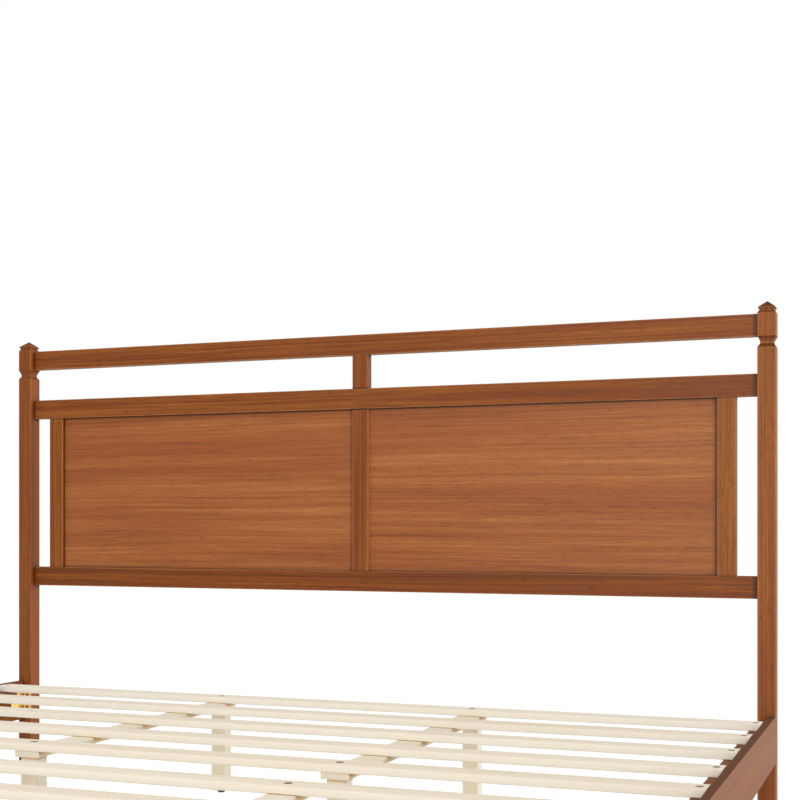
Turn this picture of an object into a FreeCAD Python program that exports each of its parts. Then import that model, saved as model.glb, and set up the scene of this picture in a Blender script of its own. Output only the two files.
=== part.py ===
import FreeCAD, Part
import os
from FreeCAD import Vector

# Platform bed with a framed two-panel headboard, in millimetres.
# The origin is on the floor at the middle of the bed. +X is to the right of someone who stands
# at the foot and looks at the headboard, +Y points to the headboard and +Z is up.

os.makedirs("parts", exist_ok=True)

# Overall sizes
bed_width = 1986.0
rail_span = 2000.0
post_side = 40.0
post_arris_radius = 2.5
post_foot_chamfer = 2.0
foot_post_top_bevel = 2.5

# Shaped top of the head posts, from the tip down
cap_rise = 14.5
cap_side = 37.0
cap_fascia_height = 2.0
collar_side = 33.4
collar_step_drop = 1.0
collar_height = 5.5
collar_hollow = 0.5
shoulder_drop = 8.0
shoulder_bulge = 1.3
block_height = 47.5
neck_side = 29.0
neck_slope_drop = 12.5
neck_slope_hollow = 0.8
neck_band_height = 4.0
bead_side = 36.6
neck_flare_drop = 5.5
bead_drop = 4.0
bead_bulge = 0.5

# Headboard rails, strut and stiles; the openings are those between the rails
lower_rail_top = 545.5
panel_opening_height = 399.0
upper_opening_height = 82.5
post_rise_above_rail = 27.0
head_rail_height = 50.0
head_rail_thickness = 23.0
head_rail_edge_radius = 2.0
stile_width = 42.0
stile_edge_bevel = 1.2
post_to_stile_gap = 47.5
strut_tenon_width = 28.0
strut_tenon_thickness = 8.0
strut_tenon_length = 12.0
rail_tenon_thickness = 10.0
rail_tenon_shoulder = 7.0
rail_tenon_length = 24.0
mortise_end_play = 1.0

# Panels and their grooves
panel_thickness = 6.0
panel_recess = 9.5
panel_play = 0.2
panel_expansion_gap = 2.0
groove_depth = 10.0
groove_stop = 8.0
groove_end_play = 0.5

# Side rails, foot rail and cleats
side_rail_thickness = 18.0
side_rail_height = 103.0
side_rail_top = 238.0
side_rail_edge_radius = 2.0
cleat_width = 27.0
cleat_height = 20.0
cleat_edge_bevel = 1.0
cleat_bracket_gap = 7.0

# Slats
slat_width = 50.0
slat_thickness = 15.0
slat_edge_bevel = 1.2
slat_drop_below_rail = 1.0
slat_end_play = 1.0
slats_per_module = 5
module_count = 2
first_slat_margin = 68.0
extra_gap_between_modules = 21.3

# Support beams and centre legs
beam_offset = 325.0
beam_width = 56.0
beam_thickness = 13.0
beam_left_edge_radius = 2.0
beam_right_edge_radius = 5.5
beam_end_inset = 3.0
leg_side = 35.5
leg_edge_bevel = 0.6

# Levelling feet and their inserts
foot_base_diameter = 18.0
foot_base_height = 7.0
foot_base_bevel = 4.0
foot_base_bevel_height = 3.5
foot_stem_diameter = 7.8
foot_stem_length = 30.0
insert_diameter = 11.0
insert_length = 13.0
insert_bore_clearance = 0.08
insert_hole_spare_depth = 4.0

# Corner brackets
bracket_height = 75.0
bracket_thickness = 3.0
bracket_rail_leg = 60.0
bracket_bend_radius = 3.0
bracket_corner_radius = 8.0
bracket_screw_spacing = 33.0
bracket_rail_screw_distance = 42.0
bracket_drop_below_slats = 1.0

# Fasteners, with lengths from the top of a flat head or from under a round head
slat_screw_head_diameter = 14.5
slat_screw_shank_diameter = 5.0
slat_screw_head_depth = 4.5
slat_screw_length = 31.0
slat_screw_end_distance = 14.0
leg_bolt_head_diameter = 15.5
leg_bolt_shank_diameter = 6.0
leg_bolt_head_depth = 4.5
leg_bolt_length = 70.0
cleat_screw_head_diameter = 8.0
cleat_screw_shank_diameter = 4.0
cleat_screw_head_depth = 3.0
cleat_screw_length = 40.0
bracket_screw_head_diameter = 8.5
bracket_screw_head_height = 2.6
bracket_screw_shank_diameter = 4.4
bracket_post_screw_length = 22.0
bracket_rail_screw_length = 15.0

# Nail-on glides under the four posts
glide_diameter = 24.0
glide_height = 5.0
glide_bevel = 2.5
glide_nail_diameter = 2.6
glide_nail_length = 14.0

# Flats that stand for the round faces of small pieces
screw_sides = 6
foot_sides = 10

# Shares that keep small forms in proportion
edge_limit_share = 0.45
round_head_crown_share = 0.6
arc_middle_share = 1 - 2 ** -0.5

# Places worked out from the sizes above
half_width = bed_width / 2
half_span = rail_span / 2
post_centre_x = half_width - post_side / 2
post_centre_y = half_span + post_side / 2
post_inner_x = half_width - post_side
post_outer_y = half_span + post_side
rail_inner_x = half_width - side_rail_thickness
middle_rail_top = lower_rail_top + panel_opening_height + head_rail_height
top_rail_top = middle_rail_top + upper_opening_height + head_rail_height
head_post_height = top_rail_top + post_rise_above_rail
slat_count = slats_per_module * module_count
extra_gaps = extra_gap_between_modules * (module_count - 1)
slat_gap = (rail_span - first_slat_margin - slat_count * slat_width - extra_gaps) / slat_count
slat_top = side_rail_top - slat_drop_below_rail
slat_bottom = slat_top - slat_thickness
beam_bottom = slat_bottom - beam_thickness
end_rail_centre_y = post_outer_y - head_rail_thickness / 2
stile_outer_x = post_inner_x - post_to_stile_gap
stile_bottom = lower_rail_top
stile_top = middle_rail_top - head_rail_height
groove_width = panel_thickness + 2 * panel_play
groove_centre_y = post_outer_y - head_rail_thickness + panel_recess + panel_thickness / 2
groove_end_x = stile_outer_x - groove_stop
cleat_inner_x = rail_inner_x - cleat_width
cleat_half_length = half_span - bracket_rail_leg - cleat_bracket_gap
bracket_top = slat_bottom - bracket_drop_below_slats
bracket_bottom = bracket_top - bracket_height

sides = (("left", -1), ("right", 1))
ends = (("head", 1), ("foot", -1))


# Shape helpers

def centred(middle, size):
    """The range of a given size about a middle."""
    return (middle - size / 2, middle + size / 2)


def block(x_range, y_range, z_range):
    """A plain box from its ranges, used for tenons and cuts."""
    ranges = (x_range, y_range, z_range)
    lows = [min(pair) for pair in ranges]
    sizes = [max(pair) - min(pair) for pair in ranges]
    return Part.makeBox(*sizes, Vector(*lows))


def section_point(axis, across, up):
    """A point in the plane through the origin square to the axis."""
    places = {"x": (0, across, up), "y": (across, 0, up), "z": (across, up, 0)}
    return Vector(*places[axis])


def bar(axis, start, length, across_middle, across, up_middle, up, easing, rounded=False,
        low_easing=None):
    """A bar along the axis with its four long edges bevelled or rounded. The two edges on its
    low side across may have a size of their own."""
    limit = edge_limit_share * min(across, up)
    easings = {1: min(easing, limit), -1: min(low_easing or easing, limit)}
    corners = []
    for index, (a, b) in enumerate(((1, -1), (1, 1), (-1, 1), (-1, -1))):
        cut = easings[a]
        on_arc = cut * arc_middle_share
        level = section_point(axis, a * (across / 2 - cut), b * up / 2)
        upright = section_point(axis, a * across / 2, b * (up / 2 - cut))
        middle = section_point(axis, a * (across / 2 - on_arc), b * (up / 2 - on_arc))
        first, last = (level, upright) if index % 2 == 0 else (upright, level)
        corners.append((first, middle, last))
    edges = []
    for index, (first, middle, last) in enumerate(corners):
        eased = Part.Arc(first, middle, last).toShape() if rounded else Part.makeLine(first, last)
        edges.append(eased)
        edges.append(Part.makeLine(last, corners[(index + 1) % len(corners)][0]))
    along = {"x": Vector(1, 0, 0), "y": Vector(0, 1, 0), "z": Vector(0, 0, 1)}[axis]
    solid = Part.Face(Part.Wire(edges)).extrude(along * length)
    solid.translate(section_point(axis, across_middle, up_middle) + along * start)
    return solid


def polygon_face(corners):
    """A flat face through its corners."""
    return Part.Face(Part.makePolygon(corners + corners[:1]))


def turned(points, sides, place, direction):
    """A small turned piece with flats for its round faces, from points of radius and depth."""
    turns = [FreeCAD.Rotation(Vector(0, 0, 1), 360 * index / sides) for index in range(sides)]
    rings = [[turn.multVec(Vector(radius, 0, depth)) for turn in turns]
             for radius, depth in points]
    faces = [polygon_face(rings[0]), polygon_face(rings[-1])]
    for near, far in zip(rings, rings[1:]):
        for index in range(sides):
            after = (index + 1) % sides
            faces.append(polygon_face([near[index], near[after], far[after], far[index]]))
    solid = Part.Solid(Part.Shell(faces)).removeSplitter()
    solid.Placement = FreeCAD.Placement(place, FreeCAD.Rotation(Vector(0, 0, 1), direction))
    return solid


def flat_head_screw(head_diameter, shank_diameter, head_depth, length, place, direction):
    """A countersunk screw or bolt; the place is the middle of its head's top."""
    shank = shank_diameter / 2
    points = ((head_diameter / 2, 0), (shank, head_depth), (shank, length))
    return turned(points, screw_sides, place, direction)


def round_head_screw(length, place, direction):
    """A round-headed bracket screw; the place is on the face that its head bears on."""
    head = bracket_screw_head_diameter / 2
    shank = bracket_screw_shank_diameter / 2
    points = ((round_head_crown_share * head, -bracket_screw_head_height), (head, 0),
              (shank, 0), (shank, length))
    return turned(points, screw_sides, place, direction)


def cut_by(shape, tools):
    """The shape less the tools that reach its box."""
    near = [tool for tool in tools if tool.BoundBox.intersect(shape.BoundBox)]
    if not near:
        return shape
    return shape.cut(near)


# Places of the slats, from the headboard down the bed

def slat_places():
    """The Y of the middle of each slat; the last gap, before the foot rail, is like the others."""
    first = half_span - first_slat_margin - slat_width / 2
    places = []
    for index in range(slat_count):
        module = index // slats_per_module
        places.append(first - index * (slat_width + slat_gap) - module * extra_gap_between_modules)
    return places


slat_centres = slat_places()
module_slats = [slat_centres[start:start + slats_per_module]
                for start in range(0, len(slat_centres), slats_per_module)]
leg_places = [place for slats in module_slats for place in (slats[0], slats[-1])]


# Fasteners, made first because the wood is drilled with their own outlines

def make_slat_screws():
    screws = []
    for y in slat_centres:
        for _, side in sides:
            x = side * (rail_inner_x - slat_end_play - slat_screw_end_distance)
            screws.append(flat_head_screw(
                slat_screw_head_diameter, slat_screw_shank_diameter, slat_screw_head_depth,
                slat_screw_length, Vector(x, y, slat_top), Vector(0, 0, -1)))
    return screws


def make_leg_bolts():
    bolts = []
    for y in leg_places:
        for _, side in sides:
            bolts.append(flat_head_screw(
                leg_bolt_head_diameter, leg_bolt_shank_diameter, leg_bolt_head_depth,
                leg_bolt_length, Vector(side * beam_offset, y, slat_top), Vector(0, 0, -1)))
    return bolts


def make_cleat_screws():
    """Screws through the cleats into the rails, in every second gap between the slats."""
    screws = []
    z = slat_bottom - cleat_height / 2
    for before, after in list(zip(slat_centres, slat_centres[1:]))[::2]:
        for _, side in sides:
            place = Vector(side * cleat_inner_x, (before + after) / 2, z)
            screws.append(flat_head_screw(
                cleat_screw_head_diameter, cleat_screw_shank_diameter, cleat_screw_head_depth,
                cleat_screw_length, place, Vector(side, 0, 0)))
    return screws


def make_bracket_screws():
    """The screws of the brackets, as one list into the posts and one into the rails."""
    into_posts = []
    into_rails = []
    middle = (bracket_top + bracket_bottom) / 2
    post_screw_x = (rail_inner_x + post_inner_x) / 2
    for _, end in ends:
        for _, side in sides:
            for z in centred(middle, bracket_screw_spacing):
                post_place = Vector(side * post_screw_x, end * (half_span - bracket_thickness), z)
                into_posts.append(round_head_screw(
                    bracket_post_screw_length, post_place, Vector(0, end, 0)))
                rail_place = Vector(side * (rail_inner_x - bracket_thickness),
                                    end * (half_span - bracket_rail_screw_distance), z)
                into_rails.append(round_head_screw(
                    bracket_rail_screw_length, rail_place, Vector(side, 0, 0)))
    return into_posts, into_rails


def make_glides():
    """Nail-on glides, one under the middle of each post."""
    radius = glide_diameter / 2
    nail = glide_nail_diameter / 2
    points = ((radius - glide_bevel, 0), (radius, glide_bevel), (radius, glide_height),
              (nail, glide_height), (nail, glide_height + glide_nail_length))
    return [turned(points, foot_sides, Vector(side * post_centre_x, end * post_centre_y, 0),
                   Vector(0, 0, 1))
            for _, end in ends for _, side in sides]


slat_screws = make_slat_screws()
leg_bolts = make_leg_bolts()
cleat_screws = make_cleat_screws()
bracket_post_screws, bracket_rail_screws = make_bracket_screws()
post_glides = make_glides()


# Posts

def head_post_steps():
    """Half width, drop and outward bulge of each stretch of the head post's outline."""
    half = post_side / 2
    return (
        (cap_side / 2, cap_rise, 0),
        (cap_side / 2, cap_fascia_height, 0),
        (collar_side / 2, collar_step_drop, 0),
        (collar_side / 2, collar_height, -collar_hollow),
        (half, shoulder_drop, shoulder_bulge),
        (half, block_height, 0),
        (neck_side / 2, neck_slope_drop, -neck_slope_hollow),
        (neck_side / 2, neck_band_height, 0),
        (bead_side / 2, neck_flare_drop, 0),
        (half, bead_drop, bead_bulge),
    )


def foot_post_steps():
    """The foot post has a flat top with a bevel all round."""
    return ((post_side / 2, foot_post_top_bevel, 0),)


def outline_edges(points, bulges, side):
    """Edges through the points on one side of the post, bulging outwards."""
    edges = []
    for (x1, z1), (x2, z2), bulge in zip(points, points[1:], bulges):
        start = Vector(side * x1, 0, z1)
        end = Vector(side * x2, 0, z2)
        if bulge:
            outward = Vector(side * (z1 - z2), 0, x2 - x1).normalize()
            middle = (start + end) * 0.5 + outward * bulge
            edges.append(Part.Arc(start, middle, end).toShape())
        else:
            edges.append(Part.makeLine(start, end))
    return edges


def square_turned_post(height, top_half_width, steps):
    """A post whose outline is worked alike on its four sides, standing on its glide."""
    half = post_side / 2
    points = [(top_half_width, height)]
    bulges = []
    for half_width_here, drop, bulge in steps:
        points.append((half_width_here, points[-1][1] - drop))
        bulges.append(bulge)
    points += [(half, glide_height + post_foot_chamfer), (half - post_foot_chamfer, glide_height)]
    bulges += [0, 0]
    edges = outline_edges(points, bulges, 1) + outline_edges(points, bulges, -1)
    for x, z in (points[0], points[-1]):
        if x:
            edges.append(Part.makeLine(Vector(-x, 0, z), Vector(x, 0, z)))
    face = Part.Face(Part.Wire(Part.__sortEdges__(edges)))
    face.translate(Vector(0, -half, 0))
    front_view = face.extrude(Vector(0, post_side, 0))
    side_view = front_view.copy()
    side_view.rotate(Vector(0, 0, 0), Vector(0, 0, 1), 90)
    stock = bar("z", 0, height, 0, post_side, 0, post_side, post_arris_radius, rounded=True)
    return front_view.common(side_view).common(stock)


def rail_tenon(side, end, top, height, extra=0):
    """The tenon of a head or foot rail at one post, or its mortise with extra depth."""
    return block(
        (side * post_inner_x, side * (post_inner_x + rail_tenon_length + extra)),
        centred(end * end_rail_centre_y, rail_tenon_thickness),
        (top - height + rail_tenon_shoulder, top - rail_tenon_shoulder))


head_rail_tops = {
    "top": top_rail_top, "middle": middle_rail_top, "lower": lower_rail_top,
}


def make_post(side, end):
    if end > 0:
        post = square_turned_post(head_post_height, 0, head_post_steps())
        rails = [(top, head_rail_height) for top in head_rail_tops.values()]
    else:
        top_half_width = post_side / 2 - foot_post_top_bevel
        post = square_turned_post(side_rail_top, top_half_width, foot_post_steps())
        rails = [(side_rail_top, side_rail_height)]
    post.translate(Vector(side * post_centre_x, end * post_centre_y, 0))
    mortises = [rail_tenon(side, end, top, height, mortise_end_play) for top, height in rails]
    return cut_by(post, mortises + bracket_post_screws + post_glides)


# Headboard

def strut_tenon(z_range):
    """The strut's stub tenon, or its mortise, over a range of heights."""
    return block(centred(0, strut_tenon_width),
                 centred(end_rail_centre_y, strut_tenon_thickness), z_range)


def panel_groove(x_range, z_range, width=groove_width):
    """A stretch of the groove that holds the panels."""
    return block(x_range, centred(groove_centre_y, width), z_range)


def make_end_rail(end, top, height):
    """A rail between two posts with a tenon at both ends."""
    rail = bar("x", -post_inner_x, 2 * post_inner_x, end * end_rail_centre_y,
               head_rail_thickness, top - height / 2, height, head_rail_edge_radius, rounded=True)
    tenons = [rail_tenon(side, end, top, height) for _, side in sides]
    return rail.fuse(tenons).removeSplitter()


def make_head_rail(name):
    top = head_rail_tops[name]
    bottom = top - head_rail_height
    groove_x = (-groove_end_x, groove_end_x)
    mortise_depth = strut_tenon_length + mortise_end_play
    cuts = {
        "top": [strut_tenon((bottom, bottom + mortise_depth))],
        "middle": [strut_tenon((top - mortise_depth, top)),
                   panel_groove(groove_x, (bottom, bottom + groove_depth))],
        "lower": [panel_groove(groove_x, (top - groove_depth, top))],
    }
    return cut_by(make_end_rail(1, top, head_rail_height), cuts[name])


def make_strut():
    bottom = middle_rail_top
    top = top_rail_top - head_rail_height
    strut = bar("z", bottom, top - bottom, 0, stile_width, end_rail_centre_y,
                head_rail_thickness, stile_edge_bevel)
    tenons = [strut_tenon((bottom - strut_tenon_length, bottom)),
              strut_tenon((top, top + strut_tenon_length))]
    return strut.fuse(tenons).removeSplitter()


stile_centre_x = stile_outer_x - stile_width / 2
tenon_reach = groove_depth - groove_end_play


def make_stile(place):
    """A stile at -1, 0 or 1, grooved for the panels, with its tenons in the rails' grooves."""
    middle = place * stile_centre_x
    stile = bar("z", stile_bottom, stile_top - stile_bottom, middle, stile_width,
                end_rail_centre_y, head_rail_thickness, stile_edge_bevel)
    low, high = centred(middle, stile_width)
    tenon_low = max(low, -groove_end_x)
    tenon_high = min(high, groove_end_x)
    stile = stile.fuse([
        panel_groove((tenon_low, tenon_high), (stile_bottom - tenon_reach, stile_bottom)),
        panel_groove((tenon_low, tenon_high), (stile_top, stile_top + tenon_reach)),
    ])
    grooves = []
    for _, side in sides:
        if place != side:
            edge = middle + side * stile_width / 2
            grooves.append(panel_groove(
                (edge, edge - side * groove_depth),
                (stile_bottom - tenon_reach, stile_top + tenon_reach)))
    return stile.cut(grooves).removeSplitter()


def make_panel(side):
    """A thin board that stands in the grooves with room to swell."""
    reach = groove_depth - panel_expansion_gap
    inner = stile_width / 2 - reach
    outer = stile_outer_x - stile_width + reach
    return panel_groove((side * inner, side * outer),
                        (stile_bottom - reach, stile_top + reach), panel_thickness)


# Bed frame

def make_side_rail(side):
    rail = bar("y", -half_span, rail_span, side * (half_width - side_rail_thickness / 2),
               side_rail_thickness, side_rail_top - side_rail_height / 2, side_rail_height,
               side_rail_edge_radius, rounded=True)
    return cut_by(rail, bracket_rail_screws + cleat_screws)


def make_cleat(side):
    cleat = bar("y", -cleat_half_length, 2 * cleat_half_length,
                side * (rail_inner_x - cleat_width / 2), cleat_width,
                slat_bottom - cleat_height / 2, cleat_height, cleat_edge_bevel)
    return cut_by(cleat, slat_screws + cleat_screws)


def bracket_outline(side, end):
    """The bent strip seen from above: from the rail leg's end round to the post leg's end."""
    inner = bracket_bend_radius
    outer = inner + bracket_thickness
    on_arc = arc_middle_share
    corner = Vector(side * rail_inner_x, end * half_span, bracket_bottom)

    def point(from_rail, from_post):
        return corner + Vector(-side * from_rail, -end * from_post, 0)

    post_leg = rail_inner_x - post_inner_x
    thick = bracket_thickness
    return [
        Part.makeLine(point(0, bracket_rail_leg), point(0, outer)),
        Part.Arc(point(0, outer), point(on_arc * outer, on_arc * outer),
                 point(outer, 0)).toShape(),
        Part.makeLine(point(outer, 0), point(post_leg, 0)),
        Part.makeLine(point(post_leg, 0), point(post_leg, thick)),
        Part.makeLine(point(post_leg, thick), point(outer, thick)),
        Part.Arc(point(outer, thick), point(thick + on_arc * inner, thick + on_arc * inner),
                 point(thick, outer)).toShape(),
        Part.makeLine(point(thick, outer), point(thick, bracket_rail_leg)),
        Part.makeLine(point(thick, bracket_rail_leg), point(0, bracket_rail_leg)),
    ]


def make_bracket(side, end):
    """A bent plate with rounded corners on its long leg."""
    strip = Part.Face(Part.Wire(bracket_outline(side, end))).extrude(Vector(0, 0, bracket_height))
    leg_end = end * (half_span - bracket_rail_leg)
    corners = [edge for edge in strip.Edges
               if abs(edge.BoundBox.YMin - leg_end) < bracket_thickness
               and edge.BoundBox.YLength < edge.BoundBox.XLength
               and edge.BoundBox.ZLength < edge.BoundBox.XLength]
    plate = strip.makeFillet(bracket_corner_radius, corners)
    return cut_by(plate, bracket_post_screws + bracket_rail_screws)


# Slat base

def make_slat(y):
    half_length = rail_inner_x - slat_end_play
    slat = bar("x", -half_length, 2 * half_length, y, slat_width,
               slat_top - slat_thickness / 2, slat_thickness, slat_edge_bevel)
    return cut_by(slat, slat_screws + leg_bolts)


def make_beam(side, slats):
    start = slats[-1] - slat_width / 2 + beam_end_inset
    stop = slats[0] + slat_width / 2 - beam_end_inset
    beam = bar("y", start, stop - start, side * beam_offset, beam_width,
               slat_bottom - beam_thickness / 2, beam_thickness, beam_right_edge_radius,
               rounded=True, low_easing=beam_left_edge_radius)
    return cut_by(beam, leg_bolts)


def upright_plug(radius, bottom, top, x, y):
    """A straight plug between two heights, which also cuts the hole for it."""
    return turned(((radius, bottom), (radius, top)), foot_sides, Vector(x, y, 0), Vector(0, 0, 1))


def make_leg(x, y):
    leg = bar("z", foot_base_height, beam_bottom - foot_base_height, x, leg_side, y, leg_side,
              leg_edge_bevel)
    hole_top = foot_base_height + foot_stem_length + insert_hole_spare_depth
    hole = upright_plug(insert_diameter / 2, foot_base_height, hole_top, x, y)
    return cut_by(leg, [hole] + leg_bolts)


def make_insert(x, y):
    """A threaded insert, level with the bottom of the leg."""
    top = foot_base_height + insert_length
    bore = foot_stem_diameter / 2 + insert_bore_clearance
    sleeve = upright_plug(insert_diameter / 2, foot_base_height, top, x, y)
    return sleeve.cut(upright_plug(bore, foot_base_height, top, x, y))


def make_levelling_foot(x, y):
    """A bevelled base that bears on the leg's end, with a stem in the insert."""
    base = foot_base_diameter / 2
    stem = foot_stem_diameter / 2
    points = ((base - foot_base_bevel, 0), (base, foot_base_bevel_height),
              (base, foot_base_height), (stem, foot_base_height),
              (stem, foot_base_height + foot_stem_length))
    return turned(points, foot_sides, Vector(x, y, 0), Vector(0, 0, 1))


# All nodes by name

parts = {}
for end_name, end in ends:
    for side_name, side in sides:
        parts[f"{end_name}_post_{side_name}"] = make_post(side, end)
        parts[f"{end_name}_bracket_{side_name}"] = make_bracket(side, end)
for rail_name in head_rail_tops:
    parts[f"headboard_{rail_name}_rail"] = make_head_rail(rail_name)
parts["headboard_centre_strut"] = make_strut()
for stile_name, place in (("left", -1), ("centre", 0), ("right", 1)):
    parts[f"headboard_{stile_name}_stile"] = make_stile(place)
parts["foot_rail"] = make_end_rail(-1, side_rail_top, side_rail_height)
inserts = []
for side_name, side in sides:
    parts[f"headboard_{side_name}_panel"] = make_panel(side)
    parts[f"side_rail_{side_name}"] = make_side_rail(side)
    parts[f"slat_cleat_{side_name}"] = make_cleat(side)
    for end_name, slats in zip(("head", "foot"), module_slats):
        parts[f"support_beam_{side_name}_{end_name}"] = make_beam(side, slats)
    for number, y in enumerate(leg_places, 1):
        x = side * beam_offset
        parts[f"support_leg_{side_name}_{number}"] = make_leg(x, y)
        parts[f"levelling_foot_{side_name}_{number}"] = make_levelling_foot(x, y)
        inserts.append(make_insert(x, y))
for number, y in enumerate(slat_centres, 1):
    parts[f"slat_{number:02d}"] = make_slat(y)
for group_name, solids in (
        ("slat_screws", slat_screws), ("leg_bolts", leg_bolts), ("cleat_screws", cleat_screws),
        ("bracket_post_screws", bracket_post_screws), ("post_glides", post_glides),
        ("bracket_rail_screws", bracket_rail_screws), ("leg_inserts", inserts)):
    parts[group_name] = Part.makeCompound(solids)

for name, shape in parts.items():
    shape.exportStep(f"parts/{name}.step")
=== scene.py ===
import bpy
import math
import random
from mathutils import Matrix, Vector


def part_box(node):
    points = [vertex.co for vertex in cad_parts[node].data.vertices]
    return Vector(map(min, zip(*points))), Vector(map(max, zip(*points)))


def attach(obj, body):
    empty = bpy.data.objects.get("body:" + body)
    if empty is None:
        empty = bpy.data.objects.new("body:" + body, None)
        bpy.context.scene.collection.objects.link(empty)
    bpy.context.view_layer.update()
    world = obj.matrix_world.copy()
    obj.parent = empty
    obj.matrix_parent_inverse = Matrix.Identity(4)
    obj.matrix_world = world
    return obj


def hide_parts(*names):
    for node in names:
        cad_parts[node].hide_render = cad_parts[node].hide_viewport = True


# A wooden platform bed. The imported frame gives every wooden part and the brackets. This script
# gives them their materials, and it builds finer screws, bolts, inserts, glides and feet.
# Places are in metres. Sizes of the turned pieces are in millimetres.

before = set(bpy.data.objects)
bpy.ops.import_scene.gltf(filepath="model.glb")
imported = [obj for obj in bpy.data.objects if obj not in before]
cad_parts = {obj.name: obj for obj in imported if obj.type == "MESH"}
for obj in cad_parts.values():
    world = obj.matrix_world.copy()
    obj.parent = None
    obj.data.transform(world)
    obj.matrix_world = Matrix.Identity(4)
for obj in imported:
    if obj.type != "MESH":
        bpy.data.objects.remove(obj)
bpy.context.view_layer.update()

MM = 0.001


# Shader nodes

CREVICE_SAMPLES = 8
EDGE_SAMPLES = 4
# Cosines between the rounded and the flat normal, on a flat face and on an edge
EDGE_COSINES = (1.0, 0.96)
# How far an edge's normal leans along the grain, and what is left there of its painted edge light
# and wear
EDGE_LEAN_RANGE = (0.1, 0.3)
EDGE_ACROSS_SHARE = 0.2


def srgb(red, green, blue):
    """A colour of 0 to 255 as the linear colour that a shader takes."""
    def linear(value):
        share = value / 255
        return share / 12.92 if share <= 0.04045 else ((share + 0.055) / 1.055) ** 2.4
    return (linear(red), linear(green), linear(blue), 1.0)


AXES = {"x": 0, "y": 1, "z": 2}


def along_and_across(axis, along, across):
    """One value for an axis and another for the two axes across it."""
    return tuple(along if index == AXES[axis] else across for index in range(3))


class Graph:
    """The node tree of a new material or world, and short calls that add nodes to it."""

    def __init__(self, owner):
        self.owner = owner
        owner.use_nodes = True
        self.tree = owner.node_tree
        self.tree.nodes.clear()

    def feed(self, socket, value):
        """Links a socket to another node's output, or sets its value."""
        if isinstance(value, bpy.types.NodeSocket):
            self.tree.links.new(value, socket)
        else:
            socket.default_value = value

    def add(self, kind, inputs, **settings):
        """A new node with its inputs fed and its settings made."""
        node = self.tree.nodes.new("ShaderNode" + kind)
        for key, value in settings.items():
            setattr(node, key, value)
        for key, value in inputs.items():
            self.feed(node.inputs[key], value)
        return node

    def math(self, operation, *values, clamp=False):
        node = self.add("Math", dict(enumerate(values)), operation=operation, use_clamp=clamp)
        return node.outputs[0]

    def vector(self, operation, *values):
        node = self.add("VectorMath", dict(enumerate(values)), operation=operation)
        scalar = operation in ("DOT_PRODUCT", "LENGTH")
        return node.outputs["Value" if scalar else "Vector"]

    def noise(self, place, detail=2.0, roughness=0.5, output="Fac"):
        node = self.add("TexNoise", {"Vector": place, "Scale": 1.0, "Detail": detail,
                                     "Roughness": roughness})
        return node.outputs[output]

    def even_noise(self, place, scale, **settings):
        """Noise with the same scale, per metre, in all directions."""
        return self.noise(self.vector("MULTIPLY", place, (scale,) * 3), **settings)

    def spread(self, value, low, high, to_low=0.0, to_high=1.0, smooth=False):
        """The value mapped from one range to another, held within the second."""
        node = self.add("MapRange", {"Value": value, "From Min": low, "From Max": high,
                                     "To Min": to_low, "To Max": to_high},
                        interpolation_type="SMOOTHSTEP" if smooth else "LINEAR")
        return node.outputs[0]

    def blend(self, share, first, second, kind="MIX"):
        """The first colour, covered by the second as far as the share says."""
        factor, base, cover, result = 0, 6, 7, 2
        node = self.add("Mix", {}, data_type="RGBA", blend_type=kind)
        for index, value in ((factor, share), (base, first), (cover, second)):
            self.feed(node.inputs[index], value)
        return node.outputs[result]

    def ramp(self, value, stops):
        """A colour ramp with a stop at each place."""
        node = self.add("ValToRGB", {"Fac": value})
        elements = node.color_ramp.elements
        while len(elements) < len(stops):
            elements.new(0.5)
        for element, (place, colour) in zip(elements, stops):
            element.position = place
            element.color = colour
        return node.outputs["Color"]

    def coordinates(self, output="Object"):
        return self.add("TexCoord", {}).outputs[output]

    def soft_normal(self, radius):
        """The normal as it is when all edges are rounded to the radius."""
        return self.add("Bevel", {"Radius": radius}, samples=EDGE_SAMPLES).outputs["Normal"]

    def flat_normal(self):
        return self.add("NewGeometry", {}).outputs["Normal"]

    def facing(self, normal, axis):
        """1 where the normal points along the axis, either way, and 0 where it lies across."""
        lean = self.vector("DOT_PRODUCT", normal, along_and_across(axis, 1.0, 0.0))
        return self.math("ABSOLUTE", lean)

    def shut_in(self, distance, lean, open_from=0.8, shut_from=0.5):
        """Near 1 where something stands close by on the side that the lean points to; painted
        shade follows it.
        """
        aim = self.vector("ADD", self.flat_normal(), lean)
        node = self.add("AmbientOcclusion", {"Distance": distance, "Normal": aim},
                        samples=CREVICE_SAMPLES)
        return self.spread(node.outputs["AO"], open_from, shut_from)

    def edge_share(self, radius, axis=None):
        """Near 1 on edges and corners, 0 on flat faces, and less on edges across the axis."""
        soft = self.soft_normal(radius)
        turned = self.vector("DOT_PRODUCT", soft, self.flat_normal())
        share = self.spread(turned, *EDGE_COSINES)
        if axis:
            kept = self.spread(self.facing(soft, axis), *EDGE_LEAN_RANGE, 1.0, EDGE_ACROSS_SHARE)
            share = self.math("MULTIPLY", share, kept)
        return share

    def seen_directly(self):
        """1 for rays that come straight from the camera, a reflection or a clear piece."""
        path = self.add("LightPath", {})
        share = path.outputs["Is Camera Ray"]
        for name in ("Is Glossy Ray", "Is Transmission Ray"):
            share = self.math("MAXIMUM", share, path.outputs[name])
        return share

    def mix_shaders(self, share, first, second):
        return self.add("MixShader", {0: share, 1: first, 2: second}).outputs[0]

    def surface(self, colour, roughness, height, depth, soft_radius, **values):
        """Ends a material with its surface shader; the height makes the bump."""
        bump = self.add("Bump", {"Height": height, "Distance": depth, "Strength": 1.0,
                                 "Normal": self.soft_normal(soft_radius)})
        shader = self.add("BsdfPrincipled", {"Base Color": colour, "Roughness": roughness,
                                             "Normal": bump.outputs["Normal"], **values})
        self.add("OutputMaterial", {"Surface": shader.outputs[0]})
        return self.owner
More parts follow.
